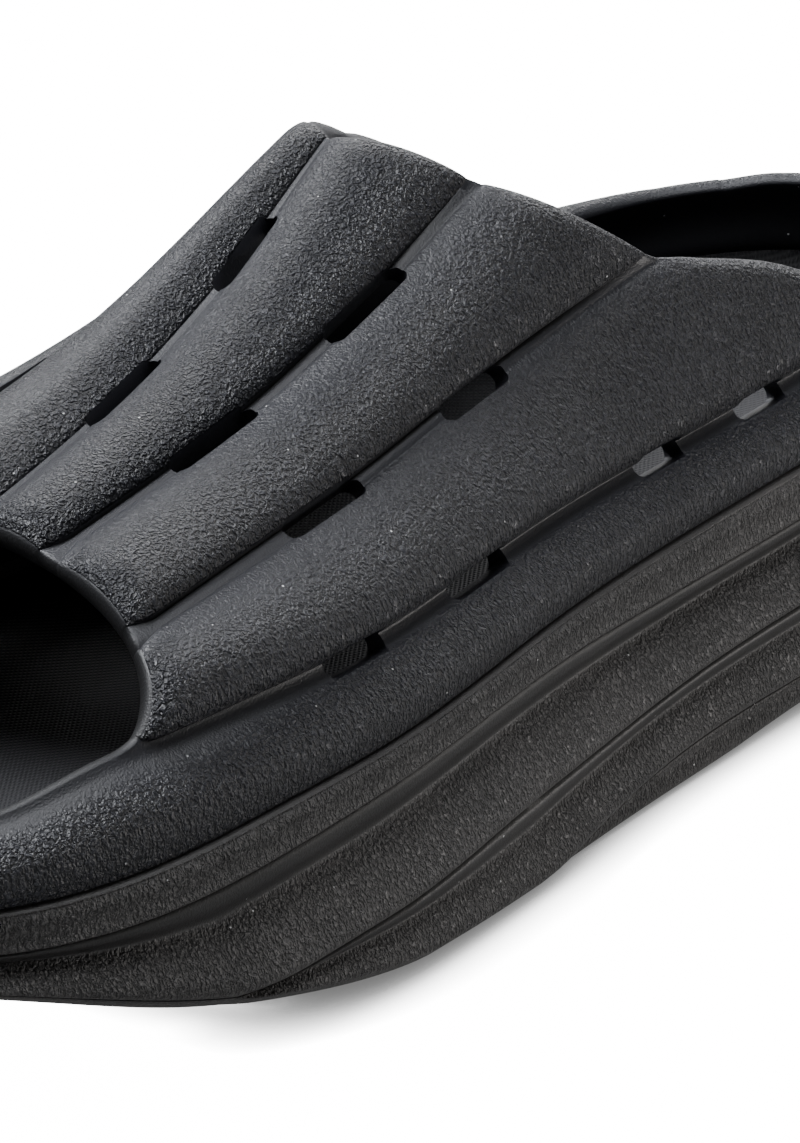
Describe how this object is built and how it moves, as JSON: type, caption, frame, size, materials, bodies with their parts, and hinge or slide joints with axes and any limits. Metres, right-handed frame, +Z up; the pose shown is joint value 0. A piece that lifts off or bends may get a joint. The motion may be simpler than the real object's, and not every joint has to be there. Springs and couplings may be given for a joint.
{
  "type": "slide sandal",
  "caption": "Thick-soled foam slide sandal for a left foot, with a ribbed, slotted upper, open toe, low heel cup, footbed and layered rocker sole.",
  "frame": {"origin": "middle of the shoe's plan box, on the plane that the sole's two flats stand on", "axes": "+Z up, +Y from toe to heel, +X to the outer side of a left foot"},
  "size_m": [0.1119, 0.2921, 0.0922],
  "materials": {
    "upper": "moulded foam, blue-grey charcoal, wrinkled leather-like grain with smooth groove floors, satin",
    "footbed": "moulded foam, near black, fine woven-looking texture, matt",
    "sole": "moulded foam, charcoal, fine grain on the bulges and smooth coves, satin"
  },
  "bodies": {
    "root": {"upper": "upper", "footbed": "footbed", "sole": "sole"}
  },
  "joints": []
}
